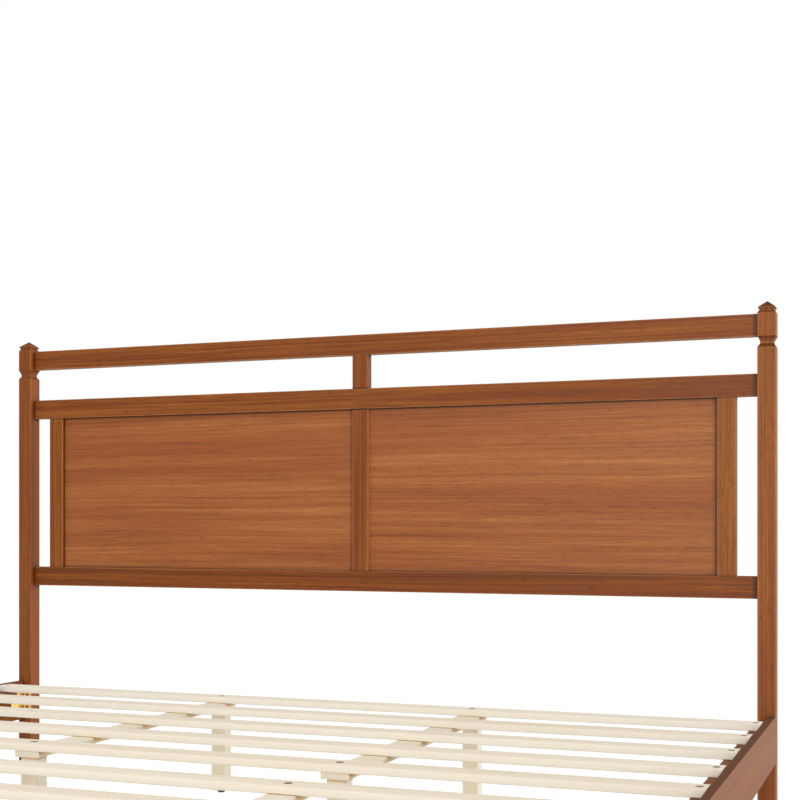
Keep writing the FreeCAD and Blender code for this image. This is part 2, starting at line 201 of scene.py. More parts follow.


# Wood

# A look is one kind of wood. Its ramp runs from dark to light grain, and "bands", "streaks" and
# "fibres" say how far each kind of grain moves the tone along the ramp. Other colours cover it:
# "red" in warm patches, "line" in fine lines and pores, "cut" and "end" on faces across the
# grain, "up", a painted shade, on faces that look up, "flank" on faces along
# an axis, and "edge" on edges, a painted highlight (a painted shade on pale wood) that is patchy
# like wear. "joint" covers the seams at the heights that "joints" gives. Three tints are painted
# shade: "shut" in crevices, "side" where a part stands close by on the +X side, and
# "shade" on sides under a part. A share says how far a colour covers, and "lean" where a
# crevice's other part stands.
STAINED = {
    "ramp": ((0.0, srgb(100, 46, 10)), (0.35, srgb(126, 64, 16)),
             (0.65, srgb(143, 79, 24)), (1.0, srgb(168, 104, 42))),
    "bands": 0.9, "streaks": 2.0, "fibres": 0.6,
    "red": srgb(120, 52, 14), "red_share": 0.4,
    "line": srgb(76, 34, 8), "line_share": 0.6,
    "cut": srgb(92, 40, 10), "end": (srgb(60, 26, 6), srgb(104, 50, 14)),
    # Painted shade: faces that look up are darker
    "up": srgb(62, 34, 16), "up_share": 0.85,
    # Painted shade in crevices
    "shut": (0.10, 0.06, 0.05, 1.0), "shut_distance": 6 * MM, "shut_share": 1.0,
    # The +X side tint is painted shade where a part stands close by
    "lean": (0.1, 0.0, 0.5), "side": (0.34, 0.34, 0.36, 1.0), "joint": srgb(48, 20, 6),
    # Painted highlight on edges, patchy like wear
    "edge": srgb(214, 152, 98), "edge_share": 0.8,
    "roughness": (0.44, 0.58), "specular": 0.28, "sheen": srgb(255, 243, 227),
    "line_grain": (2.5, 420.0), "streak_grain": (1.4, 190.0), "depth": 0.16 * MM,
}
PANEL = dict(
    STAINED,
    ramp=((0.0, srgb(130, 68, 28)), (0.35, srgb(152, 86, 40)),
          (0.65, srgb(166, 100, 50)), (1.0, srgb(186, 122, 68))),
    bands=0.8, streaks=1.7, fibres=0.8,
    red=srgb(148, 76, 32), red_share=0.35,
    line=srgb(112, 58, 24), line_share=0.6,
    lean=(0.85, 0.0, 0.5), edge_share=0.2, sheen=srgb(255, 252, 246),
    line_grain=(11.0, 400.0), streak_grain=(1.4, 150.0), depth=0.11 * MM)
PALE = {
    "ramp": ((0.0, srgb(229, 217, 193)), (0.35, srgb(238, 231, 213)),
             (0.65, srgb(242, 236, 222)), (1.0, srgb(246, 242, 231))),
    "bands": 1.1, "streaks": 0.9, "fibres": 0.3,
    "red": srgb(228, 209, 178), "red_share": 0.3,
    "line": srgb(212, 190, 154), "line_share": 0.22,
    "cut": srgb(238, 229, 210), "end": (srgb(230, 216, 188), srgb(240, 231, 212)),
    # Painted shade: tops are a little darker and warmer than the fronts
    "up": srgb(232, 212, 180), "up_share": 0.25,
    # Painted light: faces along Y, the fronts and backs, are lighter
    "flank": ("y", srgb(250, 240, 220), 0.6),
    # Painted shade: warm dark lines in crevices
    "shut": (0.70, 0.50, 0.30, 1.0), "shut_distance": 8 * MM, "shut_share": 1.0,
    "lean": (0.1, 0.0, 0.5), "side": None,
    # Painted shade on edges, a little darker than the faces, patchy like wear
    "edge": srgb(230, 216, 190), "edge_share": 0.45,
    "roughness": (0.62, 0.8), "specular": 0.25, "sheen": srgb(255, 255, 255),
    "line_grain": (1.8, 420.0), "streak_grain": (1.4, 130.0), "depth": 0.2 * MM,
}

# Scales of noise per metre, along and across the grain
DRIFT_GRAIN = (1.1, 5.0)
BAND_GRAIN = (0.55, 26.0)
FIBRE_GRAIN = (16.0, 1100.0)
FLECK_GRAIN = (45.0, 700.0)
WARMTH_GRAIN = (0.8, 12.0)
WOBBLE_GRAIN = (5.0, 60.0)
PATCH_SCALE = 30.0
# How far the grain wavers, how far parts lie apart in the noise, and how far their tones differ
DRIFT_REACH = 22 * MM
OFFSET_REACH = 40
TONE_REACH = 0.04

# From where to where along a noise, a lean or a distance something comes in
GLOSS_RANGE = (0.3, 0.7)
WARM_RANGE = (0.42, 0.68)
LINE_RANGE = (0.58, 0.72)
PORE_RANGE = (0.60, 0.74)
PATCH_RANGE = (0.35, 0.6)
CUT_RANGE = (0.1, 0.6)
END_RANGE = (0.85, 0.95)
UP_RANGE = (0.75, 0.98)
LIT_SIDE_RANGE = (0.7, 0.95)
JOINT_RANGE = (2.6 * MM, 1.2 * MM)
SHADE_RANGE = (0.95, 0.45)
SIDE_SHADE_RANGE = (0.78, 0.45)

CUT_SHARE = 0.9
LEAST_EDGE_COVER = 0.6
EDGE_RADIUS = 2.0 * MM
SOFT_RADIUS = 0.7 * MM
SHADE_LEAN = (0.0, 0.0, 0.5)
SIDE_SHADE_LEAN = (0.75, 0.0, 0.1)
SIDE_SHADE_DISTANCE = 17 * MM

# Growth rings on end grain
RING_CENTRE = 90 * MM
RING_CENTRE_SPREAD = 50 * MM
RINGS_PER_METRE = 330.0
RING_WOBBLE = 2.4
RING_SHARE = 0.5
DOT_SCALE = 1500.0
DOT_SHARE = 0.6

# Added roughness, and heights in the bump
PORE_DULLNESS = 0.15
CUT_DULLNESS = 0.35
UP_DULLNESS = 0.4
PORE_HEIGHT = -1.2
FIBRE_HEIGHT = 0.8
STREAK_HEIGHT = 0.5


def stretch(graph, place, axis, grain):
    """The place scaled along and across the grain."""
    return graph.vector("MULTIPLY", place, along_and_across(axis, *grain))


def drifting(graph, place, axis):
    """The place moved a little across the grain, so that the grain wavers."""
    drift = graph.noise(stretch(graph, place, axis, DRIFT_GRAIN), detail=1.0, output="Color")
    drift = graph.vector("SUBTRACT", drift, (0.5, 0.5, 0.5))
    drift = graph.vector("MULTIPLY", drift, along_and_across(axis, 0.0, DRIFT_REACH))
    return graph.vector("ADD", place, drift)


def end_rings(graph, place, axis, draw):
    """A share that follows the growth rings and pores on a face cut across the grain."""
    centre = along_and_across(axis, 0.0, RING_CENTRE + draw.uniform(0, RING_CENTRE_SPREAD))
    section = graph.vector("MULTIPLY", graph.coordinates(), along_and_across(axis, 0.0, 1.0))
    reach = graph.vector("LENGTH", graph.vector("ADD", section, centre))
    wobble = graph.noise(stretch(graph, place, axis, WOBBLE_GRAIN))
    wobble = graph.math("MULTIPLY", wobble, RING_WOBBLE)
    rings = graph.math("MULTIPLY_ADD", reach, RINGS_PER_METRE, wobble)
    rings = graph.math("PINGPONG", rings, 1.0)
    dots = graph.even_noise(graph.coordinates(), DOT_SCALE, detail=1.0)
    rings = graph.math("MULTIPLY", rings, RING_SHARE)
    return graph.math("MULTIPLY_ADD", dots, DOT_SHARE, rings)


def edge_light_seams_and_shade(graph, colour, place, axis, look):
    """Colour with painted edge light, patchy like wear, dark seams, and painted shade in crevices
    and on sides.
    """
    patchy = graph.even_noise(place, PATCH_SCALE, detail=3.0, roughness=0.6)
    patchy = graph.spread(patchy, *PATCH_RANGE, LEAST_EDGE_COVER, 1.0)
    # Painted highlight on edges (painted shade where the edge colour is darker), patchy like wear
    edge_light_and_wear = graph.math("MULTIPLY", graph.edge_share(EDGE_RADIUS, axis), patchy)
    edge_light_and_wear = graph.math("MULTIPLY", edge_light_and_wear, look["edge_share"])
    colour = graph.blend(edge_light_and_wear, colour, look["edge"])
    for height, share in look.get("joints", ()):
        level = graph.add("SeparateXYZ", {"Vector": graph.coordinates()}).outputs["Z"]
        away = graph.math("ABSOLUTE", graph.math("SUBTRACT", level, height))
        seam = graph.spread(away, *JOINT_RANGE, 0.0, share)
        colour = graph.blend(seam, colour, look["joint"])
    # Painted shade in crevices and at contacts between parts
    crevice_shade_mask = graph.shut_in(look["shut_distance"], look["lean"])
    crevice_shade_mask = graph.math("MULTIPLY", crevice_shade_mask, look["shut_share"])
    colour = graph.blend(crevice_shade_mask, colour, look["shut"], "MULTIPLY")
    # Painted shade on the sides under a part
    if "shade" in look:
        tint, distance, axis_of_sides = look["shade"]
        under = graph.shut_in(distance, SHADE_LEAN, *SHADE_RANGE)
        sides = graph.facing(graph.coordinates("Normal"), axis_of_sides)
        colour = graph.blend(graph.math("MULTIPLY", under, sides), colour, tint, "MULTIPLY")
    # Painted shade where a part stands close by on the +X side
    if look["side"]:
        side_shade_mask = graph.shut_in(SIDE_SHADE_DISTANCE, SIDE_SHADE_LEAN, *SIDE_SHADE_RANGE)
        colour = graph.blend(side_shade_mask, colour, look["side"], "MULTIPLY")
    return colour


def wood(name, axis, look, seed, shade=0.0):
    """Solid wood with its grain along an axis, and end grain where a face is cut across it."""
    draw = random.Random(seed)
    graph = Graph(bpy.data.materials.new(name))
    offset = tuple(draw.uniform(-OFFSET_REACH, OFFSET_REACH) for _ in range(3))
    place = drifting(graph, graph.vector("ADD", graph.coordinates(), offset), axis)

    def field(grain, **settings):
        return graph.noise(stretch(graph, place, axis, grain), **settings)

    bands = field(BAND_GRAIN)
    streaks = field(look["streak_grain"], detail=4.0, roughness=0.62)
    fibres = field(FIBRE_GRAIN, roughness=0.6)
    flecks = field(FLECK_GRAIN, detail=1.0)
    warmth = field(WARMTH_GRAIN)
    fine = field(look["line_grain"], roughness=0.6)

    # Noise lies around a half, so half of its swing is taken off the tone
    swing = (look["bands"] + look["streaks"] + look["fibres"]) / 2
    start = 0.5 - swing + shade + draw.uniform(-TONE_REACH, TONE_REACH)
    tone = graph.math("MULTIPLY_ADD", bands, look["bands"], start)
    tone = graph.math("MULTIPLY_ADD", streaks, look["streaks"], tone)
    tone = graph.math("MULTIPLY_ADD", fibres, look["fibres"], tone)
    colour = graph.ramp(tone, look["ramp"])
    warm = graph.spread(warmth, *WARM_RANGE, 0.0, look["red_share"], smooth=True)
    colour = graph.blend(warm, colour, look["red"])
    lines = graph.spread(fine, *LINE_RANGE, 0.0, look["line_share"])
    colour = graph.blend(lines, colour, look["line"])
    pores = graph.spread(flecks, *PORE_RANGE, 0.0, look["line_share"])
    colour = graph.blend(pores, colour, look["line"])

    normal = graph.coordinates("Normal")
    lean = graph.facing(normal, axis)
    colour = graph.blend(graph.spread(lean, *CUT_RANGE, 0.0, CUT_SHARE), colour, look["cut"])
    end_colour = graph.blend(end_rings(graph, place, axis, draw), *look["end"])
    colour = graph.blend(graph.spread(lean, *END_RANGE), colour, end_colour)
    # Painted shade on faces that look up; the same share also makes them duller
    upward = graph.vector("DOT_PRODUCT", normal, (0.0, 0.0, 1.0))
    upward = graph.spread(upward, *UP_RANGE, 0.0, look["up_share"])
    colour = graph.blend(upward, colour, look["up"])
    # Painted light on faces along an axis
    if look.get("flank"):
        lit_axis, tint, share = look["flank"]
        flank = graph.spread(graph.facing(normal, lit_axis), *LIT_SIDE_RANGE, 0.0, share)
        colour = graph.blend(flank, colour, tint)
    colour = edge_light_seams_and_shade(graph, colour, place, axis, look)

    roughness = graph.spread(streaks, *GLOSS_RANGE, *look["roughness"])
    roughness = graph.math("MULTIPLY_ADD", pores, PORE_DULLNESS, roughness)
    dull = graph.math("MULTIPLY_ADD", graph.spread(lean, *CUT_RANGE), CUT_DULLNESS,
                      graph.math("MULTIPLY", upward, UP_DULLNESS))
    roughness = graph.math("ADD", dull, roughness, clamp=True)
    height = graph.math("MULTIPLY", fibres, FIBRE_HEIGHT)
    height = graph.math("MULTIPLY_ADD", pores, PORE_HEIGHT, height)
    height = graph.math("MULTIPLY_ADD", streaks, STREAK_HEIGHT, height)
    return graph.surface(colour, roughness, height, look["depth"], SOFT_RADIUS,
                         **{"Specular IOR Level": look["specular"],
                            "Specular Tint": look["sheen"]})


# Metals and plastic

BRUSHED_RANGE = (0.5, 1.0)
METAL_CLOUD_SCALE = 70.0
METAL_SPECK_SCALE = 1900.0
BRUSH_GRAIN = (90.0, 2600.0)
BRUSH_SHARE = 0.6
CLOUD_SHARE = 0.9
SPECK_HEIGHT = 0.6
TINT_RANGE = (0.45, 0.7)
TINT_SHARE = 0.5
METAL_EDGE_RADIUS = 0.6 * MM
METAL_EDGE_SHARE = 0.5
METAL_DEPTH = 0.03 * MM
SMALL_SOFT_RADIUS = 0.3 * MM
# The sum of two noises over which roughness goes from its least to its greatest share
ROUGH_RANGE = (0.6, 1.4)
METAL_ROUGH_SHARES = (0.75, 1.3)

PLASTIC_TEXTURE_SCALE = 2400.0
PLASTIC_CLOUD_SCALE = 160.0
SCUFF_SCALES = (260.0, 1400.0, 500.0)
SCUFF_RANGE = (0.58, 0.75)
SCUFF_SHARE = 0.6
PLASTIC_CLOUD_SHARE = 0.3
PLASTIC_EDGE_RADIUS = 0.8 * MM
PLASTIC_EDGE_SHARE = 0.5
PLASTIC_DEPTH = 0.04 * MM
PLASTIC_ROUGH_SHARES = (0.8, 1.25)


def metal(name, light, dark, roughness, tint=None, coat=0.0):
    """Plated or darkened steel with fine brushing, cloudy patches and rubbed edges."""
    graph = Graph(bpy.data.materials.new(name))
    place = graph.coordinates()
    cloud = graph.even_noise(place, METAL_CLOUD_SCALE, detail=3.0, roughness=0.6)
    brush = graph.noise(stretch(graph, place, "z", BRUSH_GRAIN), roughness=0.6)
    speck = graph.even_noise(place, METAL_SPECK_SCALE, roughness=0.6)
    share = graph.math("MULTIPLY_ADD", brush, BRUSH_SHARE,
                       graph.math("MULTIPLY", cloud, CLOUD_SHARE))
    colour = graph.blend(graph.spread(share, *BRUSHED_RANGE), dark, light)
    if tint:
        patches = graph.spread(cloud, *TINT_RANGE, 0.0, TINT_SHARE, smooth=True)
        colour = graph.blend(patches, colour, tint)
    edge = graph.math("MULTIPLY", graph.edge_share(METAL_EDGE_RADIUS), METAL_EDGE_SHARE)
    colour = graph.blend(edge, colour, light)
    rough = graph.spread(graph.math("ADD", brush, cloud), *ROUGH_RANGE,
                         *(roughness * share for share in METAL_ROUGH_SHARES))
    height = graph.math("ADD", brush, graph.math("MULTIPLY", speck, SPECK_HEIGHT))
    return graph.surface(colour, rough, height, METAL_DEPTH, SMALL_SOFT_RADIUS,
                         **{"Metallic": 1.0, "Coat Weight": coat})


def plastic(name, light, dark, roughness):
    """Moulded plastic with a fine matt texture and scuffs."""
    graph = Graph(bpy.data.materials.new(name))
    place = graph.coordinates()
    texture = graph.even_noise(place, PLASTIC_TEXTURE_SCALE, roughness=0.7)
    cloud = graph.even_noise(place, PLASTIC_CLOUD_SCALE, detail=3.0, roughness=0.6)
    scuff = graph.noise(graph.vector("MULTIPLY", place, SCUFF_SCALES), roughness=0.7)
    share = graph.math("MULTIPLY_ADD", graph.edge_share(PLASTIC_EDGE_RADIUS),
                       PLASTIC_EDGE_SHARE,
                       graph.spread(scuff, *SCUFF_RANGE, 0.0, SCUFF_SHARE))
    share = graph.math("MULTIPLY_ADD", cloud, PLASTIC_CLOUD_SHARE, share)
    colour = graph.blend(share, dark, light)
    rough = graph.spread(graph.math("ADD", cloud, scuff), *ROUGH_RANGE,
                         *(roughness * share for share in PLASTIC_ROUGH_SHARES))
    return graph.surface(colour, rough, texture, PLASTIC_DEPTH, SMALL_SOFT_RADIUS)


dark_steel = metal("dark_steel", srgb(144, 135, 118), srgb(88, 79, 66), 0.4)
stem_steel = metal("stem_steel", srgb(206, 204, 198), srgb(158, 156, 150), 0.3)
gold_steel = metal("gold_plated_steel", srgb(254, 236, 164), srgb(230, 172, 70), 0.26,
                   tint=srgb(240, 172, 84), coat=0.2)
black_plastic = plastic("black_plastic", srgb(36, 36, 37), srgb(14, 14, 15), 0.45)


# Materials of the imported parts

# How a part's name starts, the axis of its grain and its look; the first match counts
WOODS = (
    ("headboard_left_stile", "z", STAINED), ("headboard_right_stile", "z", STAINED),
    ("headboard_centre_st", "z", STAINED), ("headboard_left_panel", "x", PANEL),
    ("headboard_right_panel", "x", PANEL), ("headboard_", "x", STAINED),
    ("foot_rail", "x", STAINED), ("head_post", "z", STAINED), ("foot_post", "z", STAINED),
    ("side_rail", "y", STAINED), ("slat_cleat", "y", STAINED), ("support_beam", "y", PALE),
    ("support_leg", "z", PALE), ("slat_", "x", PALE),
)

# How much lighter or darker than its look a part's tone is
SHADES = {
    "headboard_top_rail": -0.07, "headboard_middle_rail": -0.12, "headboard_lower_rail": -0.24,
    "headboard_centre_strut": -0.16, "headboard_left_stile": -0.12,
    "headboard_right_stile": 0.03, "headboard_left_panel": -0.12, "headboard_right_panel": -0.02,
    "head_post_left": -0.08, "head_post_right": 0.02, "side_rail_right": 0.1,
    # Painted light: the two slats nearest the headboard are lighter, against the headboard's
    # shade
    "slat_01": 0.3, "slat_02": 0.2,
}

# Heights of the seams on the headboard's upright parts
SEAM_OFFSET = 1 * MM
under_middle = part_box("headboard_middle_rail")[0].z - SEAM_OFFSET
over_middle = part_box("headboard_middle_rail")[1].z + SEAM_OFFSET
over_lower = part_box("headboard_lower_rail")[1].z + SEAM_OFFSET
OUTER_STILE = {"joints": ((under_middle, 0.35), (over_lower, 0.3))}
BED_RAIL = {
    "ramp": ((0.0, srgb(98, 50, 18)), (0.35, srgb(123, 68, 24)),
             (0.65, srgb(140, 83, 32)), (1.0, srgb(165, 108, 50))),
    "bands": 0.5, "streaks": 0.8, "line_share": 0.25, "red_share": 0.15,
    # Painted shade with a painted reflection: a dark top colour with grey in it for the gloss
    "up": srgb(75, 54, 45), "up_share": 0.74, "edge_share": 0.25, "specular": 0.1,
}
# Painted light: the fronts of the head-end centre legs are lighter against the slats' shade, and
# the right pair's ramp is lighter as well
LIT_HEAD_LEG = {"flank": ("y", srgb(255, 241, 212), 0.85)}
LIT_RIGHT_HEAD_LEG = dict(
    LIT_HEAD_LEG, ramp=((0.0, srgb(240, 227, 199)), (0.35, srgb(250, 241, 219)),
                    (0.65, srgb(253, 246, 228)), (1.0, srgb(255, 251, 236))))
# What differs from the look on single parts
CHANGES = (
    # Painted light: the centre stile's sides along X are lighter, and it has no painted crevice
    # or side shade
    ("headboard_centre_stile", {"shut_share": 0.0, "side": None,
                                "flank": ("x", srgb(218, 138, 70), 0.95),
                                "joints": ((under_middle, 1.0), (over_lower, 0.4))}),
    ("headboard_left_stile", OUTER_STILE), ("headboard_right_stile", OUTER_STILE),
    ("headboard_centre_strut", {"joints": ((over_middle, 0.55),)}),
    # Painted light: the left post's sides along X are a little lighter
    ("head_post_left", {"cut": srgb(122, 66, 30), "flank": ("x", srgb(176, 96, 44), 0.35)}),
    ("side_rail", BED_RAIL), ("foot_rail", BED_RAIL), ("slat_cleat", {"up_share": 0.2}),
    # Painted shade on the beams' sides under the slats, and less painted crevice shade
    ("support_beam", {"shade": ((0.88, 0.70, 0.46, 1.0), 60 * MM, "x"), "shut_share": 0.35}),
    ("support_leg", {"flank": None}),
    ("support_leg_left_1", LIT_HEAD_LEG), ("support_leg_left_2", LIT_HEAD_LEG),
    ("support_leg_right_1", LIT_RIGHT_HEAD_LEG), ("support_leg_right_2", LIT_RIGHT_HEAD_LEG),
)
# Nodes whose places finer meshes take, together with the levelling feet
REPLACED = ("slat_screws", "leg_bolts", "cleat_screws", "bracket_post_screws",
            "bracket_rail_screws", "post_glides", "leg_inserts")


def material_for(name, seed):
    """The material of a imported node."""
    if name in REPLACED or name.startswith("levelling_foot"):
        return dark_steel
    if "bracket_" in name:
        return gold_steel
    axis, look = next((axis, look) for start, axis, look in WOODS if name.startswith(start))
    for start, changes in CHANGES:
        if name.startswith(start):
            look = dict(look, **changes)
    return wood("wood_" + name, axis, look, seed, SHADES.get(name, 0.0))


for seed, name in enumerate(sorted(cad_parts)):
    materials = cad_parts[name].data.materials
    materials.clear()
    materials.append(material_for(name, seed))


# Turned pieces

SHARP_ANGLE = math.radians(35)
UP = (0, 0, 1)
DOWN = (0, 0, -1)


def even_angles(count):
    return [math.tau * index / count for index in range(count)]


def ring_of(angles, radius, depth):
    """A ring at a depth; the radius is a number or a function of the angle."""
    ring = []
    for angle in angles:
        reach = radius(angle) if callable(radius) else radius
        ring.append((reach * math.cos(angle) * MM, reach * math.sin(angle) * MM, depth * MM))
    return ring


def rings_of(angles, profile):
    """A ring for each radius and depth of a profile."""
    return [ring_of(angles, radius, depth) for radius, depth in profile]


def turned_mesh(rings, looped=False):
    """Points and faces of a skin over rings, which a cap at each end or a loop closes."""
    count = len(rings[0])
    points = [point for ring in rings for point in ring]
    starts = [index * count for index in range(len(rings))]
    afters = starts[1:] + starts[:1] if looped else starts[1:]
    caps = () if looped else ((starts[0], -1), (starts[-1], 1))
    faces = []
    for base, upper in zip(starts, afters):
        for turn in range(count):
            after = (turn + 1) % count
            faces.append((base + turn, base + after, upper + after, upper + turn))
    for base, order in caps:
        ring = list(range(base, base + count))[::order]
        middle = len(points)
        points.append(tuple(sum(points[i][k] for i in ring) / count for k in range(3)))
        faces += [(ring[i], ring[(i + 1) % count], middle) for i in range(count)]
    return points, faces


def placed(place, direction, turn=0.0):
    """Local +Z along the direction, turned about it, with its origin at the place in metres."""
    aim = Vector(direction).to_track_quat("Z", "Y").to_matrix().to_4x4()
    return Matrix.Translation(Vector(place)) @ aim @ Matrix.Rotation(turn, 4, "Z")


def add_piece(name, mesh_points, mesh_faces, places, material, body, slot, replaced):
    """One piece that rides on a body: the mesh, repeated at each of the places."""
    points = []
    faces = []
    for matrix in places:
        base = len(points)
        points += [matrix @ Vector(point) for point in mesh_points]
        faces += [tuple(base + index for index in face) for face in mesh_faces]
    mesh = bpy.data.meshes.new(name)
    mesh.from_pydata(points, [], faces)
    mesh.validate()
    mesh.shade_smooth()
    mesh.set_sharp_from_angle(angle=SHARP_ANGLE)
    mesh.materials.append(material)
    piece = bpy.data.objects.new(name, mesh)
    bpy.context.scene.collection.objects.link(piece)
    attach(piece, body)
    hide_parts(replaced)


# Driver recesses: each gives its reach at an angle, and the angles that its rings need

CROSS_STEPS = 32
HEX_STEPS = 48
# Keeps a division away from zero
LEAST_COSINE = 1e-6
ANGLE_DIGITS = 6
# A little less than a quarter and a sixth of a turn: each head is turned at random within it
QUARTER_TURN = 1.57
SIXTH_TURN = 1.0


def cross_recess(length, width):
    """A four-armed recess."""
    def reach(angle):
        cosine = abs(math.cos(angle))
        sine = abs(math.sin(angle))
        flat = min(length / max(cosine, LEAST_COSINE), width / max(sine, LEAST_COSINE))
        tall = min(length / max(sine, LEAST_COSINE), width / max(cosine, LEAST_COSINE))
        return max(flat, tall)

    corner = math.atan2(width, length)
    angles = {round(angle, ANGLE_DIGITS) for angle in even_angles(CROSS_STEPS)}
    for quarter in range(4):
        for offset in (-corner, corner):
            angles.add(round((quarter * math.pi / 2 + offset) % math.tau, ANGLE_DIGITS))
    return reach, sorted(angles)


def hex_recess(apothem):
    """A six-sided recess."""
    def reach(angle):
        step = math.pi / 3
        return apothem / math.cos((angle + step / 2) % step - step / 2)
    return reach, even_angles(HEX_STEPS)


# Screws and bolts: depth 0 is the face that they lie level with or bear on

RECESS_RIM = 0.12
TIP_LENGTH = 3.0
TIP_SHORTENING = 0.2
TIP_SHARE = 0.3
FLAT_PROUD = 0.15
FLAT_OVERLAP = 0.1
FLAT_RIM_DEPTH = 0.35
# Steps out from the head's radius, and depths under its face
FLAT_RIM = ((-0.35, 0.0), (-0.08, 0.12), (0.0, 0.3))
NECK_FILLET = 0.15
NECK_FILLET_DEPTH = 0.5
# Shares of the head's radius, and depths under its top
PAN_DOME = ((0.62, 0.03), (0.8, 0.28), (0.93, 0.8), (0.99, 1.5))
PAN_EDGE = 0.2
PAN_CHAMFER = 0.15
# Shares of the recess's reach and of its depth, from its floor up
RECESS_SHARES = ((0.45, 1.0), (0.8, 0.75))


def recessed(recess, depth, top, profile):
    """A turned piece with a recess in its face, which lies at the top; the profile goes on."""
    reach, angles = recess
    rings = [ring_of(angles, lambda angle: reach_share * reach(angle), depth * depth_share + top)
             for reach_share, depth_share in RECESS_SHARES]
    rings.append(ring_of(angles, reach, RECESS_RIM + top))
    rings.append(ring_of(angles, lambda angle: reach(angle) + RECESS_RIM, top))
    return turned_mesh(rings + rings_of(angles, profile))


def flat_screw(recess, recess_depth, head, head_depth, shank, length):
    """A countersunk screw; its head stands a little proud."""
    radius = head / 2 + FLAT_OVERLAP
    core = shank / 2
    profile = [(radius + step, depth - FLAT_PROUD) for step, depth in FLAT_RIM] + [
        (radius, FLAT_RIM_DEPTH),
        (core + NECK_FILLET, head_depth),
        (core, head_depth + NECK_FILLET_DEPTH),
        (core, length - TIP_LENGTH),
        (core * TIP_SHARE, length - TIP_SHORTENING),
    ]
    return recessed(recess, recess_depth, -FLAT_PROUD, profile)


def pan_screw(recess, recess_depth, head, head_height, shank, length):
    """A round-headed screw."""
    radius = head / 2
    core = shank / 2
    profile = [(radius * share, depth - head_height) for share, depth in PAN_DOME] + [
        (radius, -PAN_EDGE),
        (radius - PAN_CHAMFER, 0.0),
        (core, 0.0),
        (core, length - TIP_LENGTH),
        (core * TIP_SHARE, length - TIP_SHORTENING),
    ]
    return recessed(recess, recess_depth, -head_height, profile)


def middle_of(box):
    """The middle of a box in X and Y."""
    low, high = box
    return (low.x + high.x) / 2, (low.y + high.y) / 2


SLAT_COUNT = 10
SLAT_SCREW_INSET = 14 * MM
# Length and width of the arms of cross recesses
SLAT_CROSS = (3.2, 0.8)
CLEAT_CROSS = (2.3, 0.62)
BRACKET_CROSS = (2.2, 0.6)
BOLT_APOTHEM = 2.5
SLAT_SCREW = {"recess_depth": 2.4, "head": 14.5, "head_depth": 4.5, "shank": 5.0, "length": 31.0}
LEG_BOLT = {"recess_depth": 2.8, "head": 15.5, "head_depth": 4.5, "shank": 6.0, "length": 70.0}
CLEAT_SCREW = {"recess_depth": 1.6, "head": 8.0, "head_depth": 3.0, "shank": 4.0, "length": 40.0}
BRACKET_SCREW = {"recess_depth": 1.6, "head": 8.5, "head_height": 2.6, "shank": 4.3}
# Name, length and whether they go into the post
BRACKET_SCREW_SETS = (("bracket_post_screw", 22.0, True), ("bracket_rail_screw", 15.0, False))
BRACKET_THICKNESS = 3 * MM
BRACKET_SCREW_RISE = 16.5 * MM
RAIL_SCREW_SETBACK = 42 * MM

slat_ys = [middle_of(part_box(f"slat_{number:02d}"))[1] for number in range(1, SLAT_COUNT + 1)]
slat_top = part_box("slat_01")[1].z
slat_screw_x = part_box("slat_01")[1].x - SLAT_SCREW_INSET
leg_boxes = {name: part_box(name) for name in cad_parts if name.startswith("support_leg")}
leg_middles = {name: middle_of(box) for name, box in leg_boxes.items()}
draw = random.Random(7)

# Screws through the slats' ends
places = [placed((side * slat_screw_x, y, slat_top), DOWN, draw.uniform(0, QUARTER_TURN))
          for y in slat_ys for side in (-1, 1)]
add_piece("slat_screw_set", *flat_screw(cross_recess(*SLAT_CROSS), **SLAT_SCREW), places,
          dark_steel, "bed", "dark_steel", "slat_screws")

# Bolts through the slats and beams into the legs
places = [placed((x, y, slat_top), DOWN, draw.uniform(0, SIXTH_TURN))
          for x, y in leg_middles.values()]
add_piece("leg_bolt_set", *flat_screw(hex_recess(BOLT_APOTHEM), **LEG_BOLT), places,
          dark_steel, "bed", "dark_steel", "leg_bolts")

# Screws through the cleats into the side rails, in every second gap between the slats
cleat_low, cleat_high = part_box("slat_cleat_right")
cleat_middle = (cleat_low.z + cleat_high.z) / 2
places = [placed((side * cleat_low.x, (before + after) / 2, cleat_middle), (side, 0, 0),
                 draw.uniform(0, QUARTER_TURN))
          for before, after in list(zip(slat_ys, slat_ys[1:]))[::2] for side in (-1, 1)]
add_piece("cleat_screw_set", *flat_screw(cross_recess(*CLEAT_CROSS), **CLEAT_SCREW), places,
          dark_steel, "bed", "dark_steel", "cleat_screws")

# Round-headed screws of the brackets
bracket_low, bracket_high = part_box("head_bracket_right")
bracket_middle = (bracket_low.z + bracket_high.z) / 2
post_screw_x = (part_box("side_rail_right")[0].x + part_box("head_post_right")[0].x) / 2
post_screw_y = bracket_high.y - BRACKET_THICKNESS
rail_screw_x = bracket_high.x - BRACKET_THICKNESS
rail_screw_y = bracket_high.y - RAIL_SCREW_SETBACK


def bracket_places(into_post):
    """Places and directions of the screws in one leg of each bracket."""
    x, y = (post_screw_x, post_screw_y) if into_post else (rail_screw_x, rail_screw_y)
    for end in (1, -1):
        for side in (-1, 1):
            for rise in (-BRACKET_SCREW_RISE, BRACKET_SCREW_RISE):
                direction = (0, end, 0) if into_post else (side, 0, 0)
                yield placed((side * x, end * y, bracket_middle + rise), direction,
                             draw.uniform(0, QUARTER_TURN))


for name, length, into_post in BRACKET_SCREW_SETS:
    screw = pan_screw(cross_recess(*BRACKET_CROSS), length=length, **BRACKET_SCREW)
    add_piece(name + "_set", *screw, bracket_places(into_post),
              dark_steel, "bed", "dark_steel", name + "s")


# Glides, inserts and levelling feet

